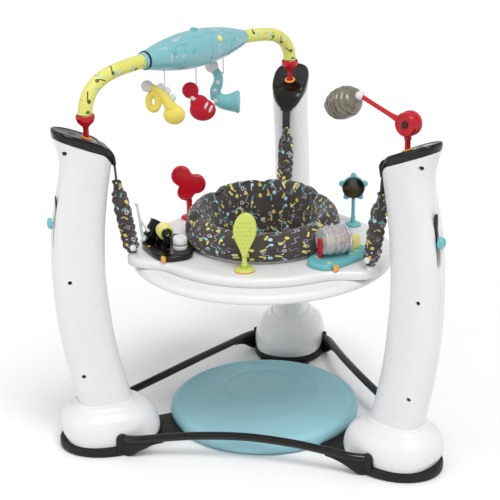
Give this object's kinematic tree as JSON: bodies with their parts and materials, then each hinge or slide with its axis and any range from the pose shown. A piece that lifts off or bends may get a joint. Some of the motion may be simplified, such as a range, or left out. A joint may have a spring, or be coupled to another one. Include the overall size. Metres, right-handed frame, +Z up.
{
  "type": "bouncer seat",
  "caption": "Free-standing baby bouncer: a swivelling fabric seat in a round toy tray, hung on sprung straps between curved towers over a round bounce mat.",
  "frame": {"origin": "on the floor, under the centre of the bounce mat", "axes": "+Z up; +Y towards the rear tower, so the front of the seat faces -Y; +X to the right seen from the front"},
  "size_m": [0.9394, 0.847, 0.965],
  "materials": {
    "white_plastic": "glossy moulded white plastic",
    "black_plastic": "gloss black plastic",
    "dark_plastic": "dark grey plastic",
    "teal_plastic": "satin teal plastic",
    "mat_plastic": "pale teal plastic with a rippled top",
    "red_plastic": "gloss red plastic",
    "yellow_plastic": "pale yellow printed plastic",
    "lime_plastic": "lime green plastic",
    "smoke_plastic": "translucent smoke grey plastic",
    "clear_plastic": "clear ribbed plastic",
    "black_tube": "gloss black painted steel tube",
    "seat_fabric": "dark grey printed fabric over padding",
    "webbing": "black woven webbing",
    "string": "thin woven ribbon",
    "plush_yellow": "yellow plush",
    "plush_red": "red plush",
    "plush_teal": "teal plush",
    "spring_steel": "plated spring steel"
  },
  "bodies": {
    "base": {"bounce_mat": "mat_plastic", "foot_base_rear": "black_plastic", "foot_cover_rear": "white_plastic", "tower_cap_rear": "black_plastic", "foot_base_left": "black_plastic", "foot_cover_left": "white_plastic", "tower_cap_left": "black_plastic", "foot_base_right": "black_plastic", "foot_cover_right": "white_plastic", "tower_cap_right": "black_plastic", "tower_rear_shell_a": "white_plastic", "tower_rear_shell_b": "white_plastic", "tower_left_shell_a": "white_plastic", "tower_left_shell_b": "white_plastic", "tower_right_shell_a": "white_plastic", "tower_right_shell_b": "white_plastic", "base_tube_front": "black_tube", "base_tube_right": "black_tube", "base_tube_left": "black_tube", "arch_cup_left": "red_plastic", "arch_cup_right": "red_plastic", "arch_tube_left": "yellow_plastic", "arch_tube_right": "yellow_plastic", "arch_console": "teal_plastic"},
    "suspension": {"strap_rear": "webbing", "spring_rear": "spring_steel", "spring_sleeve_rear": "seat_fabric", "strap_left": "webbing", "spring_left": "spring_steel", "spring_sleeve_left": "seat_fabric", "strap_right": "webbing", "spring_right": "spring_steel", "spring_sleeve_right": "seat_fabric"},
    "tray": {"tray_top": "white_plastic", "tray_base": "white_plastic", "drum_dish": "black_plastic", "drum_snare": "white_plastic", "spinner_base": "teal_plastic"},
    "seat": {"seat_ring": "dark_plastic", "seat_fabric": "seat_fabric"},
    "slider_rear": {"height_slider_rear": "teal_plastic"},
    "slider_left": {"height_slider_left": "teal_plastic"},
    "slider_right": {"height_slider_right": "teal_plastic"},
    "horn": {"plush_horn": "plush_yellow", "string_horn": "string"},
    "guitar": {"plush_guitar": "plush_red", "string_guitar": "string"},
    "sax": {"plush_sax": "plush_teal", "string_sax": "string"},
    "arm": {"arm_stalk": "red_plastic"},
    "arm_tip": {"arm_rod": "red_plastic"},
    "ball": {"rattle_ball": "smoke_plastic"},
    "drum_roller": {"drum_roller": "yellow_plastic"},
    "drum_stick": {"drum_stick": "white_plastic"},
    "spinner_drum": {"spinner_drum": "clear_plastic"},
    "spinner_key": {"spinner_key": "lime_plastic"},
    "mirror": {"mirror_flower": "teal_plastic"},
    "maraca": {"maraca": "lime_plastic"},
    "paddle": {"red_paddle": "red_plastic"},
    "console_button": {"console_button": "teal_plastic"}
  },
  "joints": [
    {"name": "tray_height", "type": "slide", "parent": "base", "child": "suspension", "axis": [0, 0, 1], "range_m": [-0.035, 0.03], "deforming": ["strap_rear", "strap_left", "strap_right"]},
    {"name": "tray_bounce", "type": "slide", "parent": "suspension", "child": "tray", "axis": [0, 0, 1], "range_m": [-0.06, 0.03], "stiffness_N_per_m": 1200, "springref_m": 0.01577, "deforming": ["spring_sleeve_rear", "spring_sleeve_left", "spring_sleeve_right", "spring_rear", "spring_left", "spring_right"]},
    {"name": "seat_swivel", "type": "hinge", "parent": "tray", "child": "seat", "pos_m": [0, 0, 0.472], "axis": [0, 0, 1], "continuous": true},
    {"name": "slider_rear_slide", "type": "slide", "parent": "base", "child": "slider_rear", "axis": [0, -0.15, 0.9887], "range_m": [-0.03, 0.035]},
    {"name": "slider_left_slide", "type": "slide", "parent": "base", "child": "slider_left", "axis": [0.1299, 0.075, 0.9887], "range_m": [-0.03, 0.035]},
    {"name": "slider_right_slide", "type": "slide", "parent": "base", "child": "slider_right", "axis": [-0.1299, 0.075, 0.9887], "range_m": [-0.03, 0.035]},
    {"name": "horn_swing", "type": "hinge", "parent": "base", "child": "horn", "pos_m": [-0.23473, 0.01343, 0.8774], "axis": [0.5, 0.866, 0], "range_deg": [-25, 25]},
    {"name": "guitar_swing", "type": "hinge", "parent": "base", "child": "guitar", "pos_m": [-0.18023, 0.10783, 0.8673], "axis": [0.5, 0.866, 0], "range_deg": [-25, 25]},
    {"name": "sax_swing", "type": "hinge", "parent": "base", "child": "sax", "pos_m": [-0.13073, 0.19357, 0.8769], "axis": [0.5, 0.866, 0], "range_deg": [-25, 25]},
    {"name": "console_button_press", "type": "slide", "parent": "base", "child": "console_button", "axis": [0, 0, -1], "range_m": [0, 0.003], "stiffness_N_per_m": 300},
    {"name": "arm_swivel", "type": "hinge", "parent": "base", "child": "arm", "pos_m": [0.36373, -0.21, 0.79], "axis": [0, 0, 1], "range_deg": [-60, 60]},
    {"name": "arm_tilt", "type": "hinge", "parent": "arm", "child": "arm_tip", "pos_m": [0.36373, -0.21, 0.829], "axis": [0.5, 0.866, 0], "range_deg": [-25, 25]},
    {"name": "rattle_spin", "type": "hinge", "parent": "arm_tip", "child": "ball", "pos_m": [0.21424, -0.13293, 0.8515], "axis": [0.7647, -0.4415, 0.4695], "continuous": true},
    {"name": "drum_roller_spin", "type": "hinge", "parent": "tray", "child": "drum_roller", "pos_m": [-0.21531, -0.11507, 0.5203], "axis": [0.5, -0.866, 0], "continuous": true},
    {"name": "drum_stick_tilt", "type": "hinge", "parent": "tray", "child": "drum_stick", "pos_m": [-0.27042, -0.10763, 0.4931], "axis": [0.5, -0.866, 0], "range_deg": [-12, 12]},
    {"name": "spinner_spin", "type": "hinge", "parent": "tray", "child": "spinner_drum", "pos_m": [0.19305, -0.12762, 0.5253], "axis": [0.8191, 0.5736, 0], "continuous": true},
    {"name": "spinner_key_press", "type": "slide", "parent": "tray", "child": "spinner_key", "axis": [0, 0, -1], "range_m": [0, 0.0024], "stiffness_N_per_m": 300},
    {"name": "mirror_swivel", "type": "hinge", "parent": "tray", "child": "mirror", "pos_m": [0.20692, 0.1293, 0.4723], "axis": [0, 0, 1], "range_deg": [-60, 60]},
    {"name": "maraca_swivel", "type": "hinge", "parent": "tray", "child": "maraca", "pos_m": [0, -0.222, 0.4723], "axis": [0, 0, 1], "range_deg": [-40, 40]},
    {"name": "paddle_swivel", "type": "hinge", "parent": "tray", "child": "paddle", "pos_m": [-0.21131, 0.122, 0.4723], "axis": [0, 0, 1], "range_deg": [-40, 40]}
  ],
  "couplings": [
    {"joint": "slider_rear_slide", "follows": "tray_height", "ratio": -1},
    {"joint": "slider_left_slide", "follows": "tray_height", "ratio": -1},
    {"joint": "slider_right_slide", "follows": "tray_height", "ratio": -1}
  ]
}
